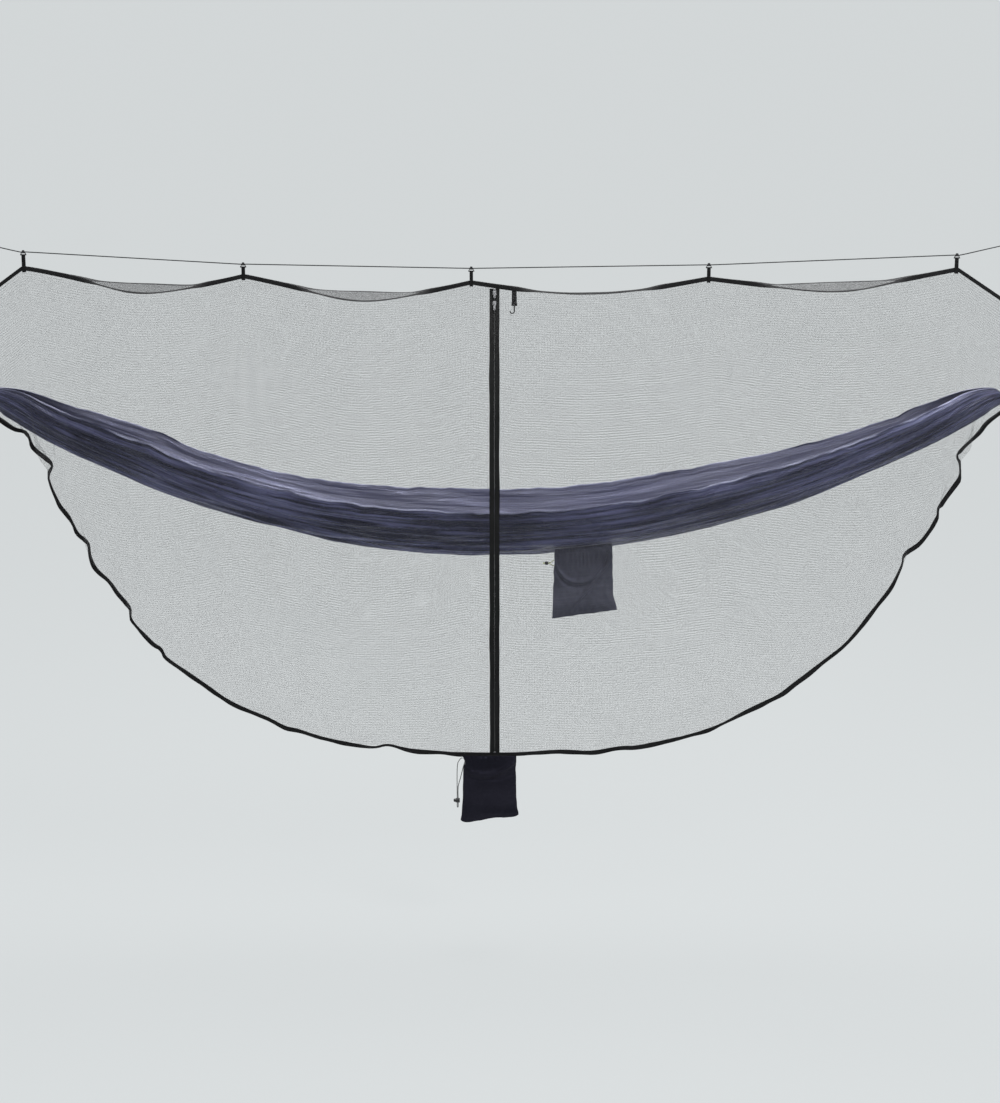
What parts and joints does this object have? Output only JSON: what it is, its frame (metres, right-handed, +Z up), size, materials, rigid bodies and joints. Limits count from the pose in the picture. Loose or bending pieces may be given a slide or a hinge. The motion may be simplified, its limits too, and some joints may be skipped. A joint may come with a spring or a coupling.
{
  "type": "hammock tent",
  "caption": "Gathered-end hammock inside a closed hanging mosquito net on a ridgeline cord, with a zip door, a gear hook, a side pouch and a stuff sack.",
  "frame": {"origin": "on the ridgeline cord, straight above the zip in the front wall of the net", "axes": "+X along the hammock to the right as seen from the zip side, +Y from the zip wall to the back wall, +Z up"},
  "size_m": [3.6042, 0.5892, 1.8176],
  "materials": {
    "netting": "fine open polyester mesh, pale grey",
    "black_tape": "black woven webbing and binding",
    "navy_cloth": "thin navy nylon, soft sheen, creased",
    "dark_cloth": "thin near-black nylon",
    "slate_cloth": "thin slate-blue nylon",
    "black_cord": "black braided cord",
    "green_cord": "yellow-green braided cord",
    "black_plastic": "black moulded plastic, satin",
    "grey_plastic": "dark grey moulded plastic",
    "slider_metal": "grey die-cast metal, slightly worn",
    "steel": "bent steel rod, satin"
  },
  "bodies": {
    "net": {"net_front_left": "netting", "net_front_right": "netting", "net_back": "netting", "net_top_panel": "netting", "front_ridge_band": "black_tape", "back_ridge_band": "black_tape", "bottom_rim_binding": "black_tape", "left_cuff": "black_tape", "right_cuff": "black_tape", "ridgeline_cord": "black_cord", "ridgeline_left_eye": "black_cord", "ridgeline_right_eye": "black_cord", "hanger_ring_1": "black_plastic", "hanger_ring_2": "black_plastic", "hanger_ring_3": "black_plastic", "hanger_ring_4": "black_plastic", "hanger_ring_5": "black_plastic", "hanger_strap_1": "black_tape", "hanger_strap_2": "black_tape", "hanger_strap_3": "black_tape", "hanger_strap_4": "black_tape", "hanger_strap_5": "black_tape", "zip_tape_left": "black_tape", "zip_tape_right": "black_tape", "zip_top_stop": "slider_metal", "zip_bottom_stop": "slider_metal", "gear_hook_strap": "black_tape"},
    "upper_slider": {"upper_slider": "slider_metal"},
    "upper_pull": {"upper_pull": "slider_metal"},
    "lower_slider": {"lower_slider": "slider_metal"},
    "lower_pull": {"lower_pull": "slider_metal"},
    "gear_hook": {"gear_hook": "grey_plastic"},
    "hammock": {"hammock_body": "navy_cloth", "hammock_near_hem": "navy_cloth", "hammock_far_hem": "navy_cloth", "left_whipping": "black_cord", "right_whipping": "black_cord", "left_rope_loop": "black_cord", "right_rope_loop": "black_cord"},
    "left_carabiner": {"left_carabiner": "steel", "left_carabiner_pin": "steel"},
    "left_gate": {"left_carabiner_gate": "steel"},
    "right_carabiner": {"right_carabiner": "steel", "right_carabiner_pin": "steel"},
    "right_gate": {"right_carabiner_gate": "steel"},
    "pouch": {"pouch": "slate_cloth", "pouch_drawcord": "green_cord"},
    "pouch_toggle": {"pouch_toggle": "black_plastic"},
    "stuff_sack": {"stuff_sack": "dark_cloth", "stuff_sack_drawcord": "black_cord"},
    "cord_lock": {"stuff_sack_cord_lock": "black_plastic"},
    "lock_button": {"stuff_sack_lock_button": "black_plastic"}
  },
  "joints": [
    {"name": "upper_slider_travel", "type": "hinge", "parent": "net", "child": "upper_slider", "pos_m": [0, 1.01729, -0.76056], "axis": [1, 0, 0], "range_deg": [0, 33]},
    {"name": "lower_slider_travel", "type": "hinge", "parent": "upper_slider", "child": "lower_slider", "pos_m": [0, 1.01729, -0.76056], "axis": [1, 0, 0], "range_deg": [0, 33]},
    {"name": "upper_pull_lift", "type": "hinge", "parent": "upper_slider", "child": "upper_pull", "pos_m": [0, -0.01628, -0.06919], "axis": [-1, 0, 0], "range_deg": [0, 120]},
    {"name": "lower_pull_lift", "type": "hinge", "parent": "lower_slider", "child": "lower_pull", "pos_m": [0, -0.03457, -0.09735], "axis": [-1, 0, 0], "range_deg": [0, 120]},
    {"name": "gear_hook_swing", "type": "hinge", "parent": "net", "child": "gear_hook", "pos_m": [0.05753, -0.00955, -0.10305], "axis": [0.9888, -0.149, 0], "range_deg": [-25, 75]},
    {"name": "hammock_swing", "type": "hinge", "parent": "net", "child": "hammock", "pos_m": [0, 0, -0.249], "axis": [1, 0, 0], "range_deg": [-4, 4]},
    {"name": "left_carabiner_turn", "type": "hinge", "parent": "hammock", "child": "left_carabiner", "pos_m": [-1.75055, 0, -0.22282], "axis": [0, 1, 0], "range_deg": [-35, 35]},
    {"name": "right_carabiner_turn", "type": "hinge", "parent": "hammock", "child": "right_carabiner", "pos_m": [1.75055, 0, -0.22282], "axis": [0, 1, 0], "range_deg": [-35, 35]},
    {"name": "left_gate_open", "type": "hinge", "parent": "left_carabiner", "child": "left_gate", "pos_m": [-1.74427, 0, -0.2084], "axis": [0, -1, 0], "range_deg": [0, 25], "stiffness_Nm_per_rad": 0.08, "springref_deg": -17.19},
    {"name": "right_gate_open", "type": "hinge", "parent": "right_carabiner", "child": "right_gate", "pos_m": [1.74427, 0, -0.2084], "axis": [0, 1, 0], "range_deg": [0, 25], "stiffness_Nm_per_rad": 0.08, "springref_deg": -17.19},
    {"name": "pouch_swing", "type": "hinge", "parent": "hammock", "child": "pouch", "pos_m": [0.26179, -0.066, -0.81067], "axis": [0.9946, 0, 0.1039], "range_deg": [-15, 15]},
    {"name": "pouch_toggle_slide", "type": "slide", "parent": "pouch", "child": "pouch_toggle", "axis": [1, 0, 0], "range_m": [-0.003, 0.003]},
    {"name": "stuff_sack_swing", "type": "hinge", "parent": "net", "child": "stuff_sack", "pos_m": [-0.016, 0, -1.47433], "axis": [1, 0, 0], "range_deg": [-30, 30]},
    {"name": "cord_lock_slide", "type": "slide", "parent": "stuff_sack", "child": "cord_lock", "axis": [0, 0, 1], "range_m": [-0.006, 0.03]},
    {"name": "lock_button_press", "type": "slide", "parent": "cord_lock", "child": "lock_button", "axis": [1, 0, 0], "range_m": [0, 0.003], "stiffness_N_per_m": 300, "springref_m": -0.001}
  ]
}
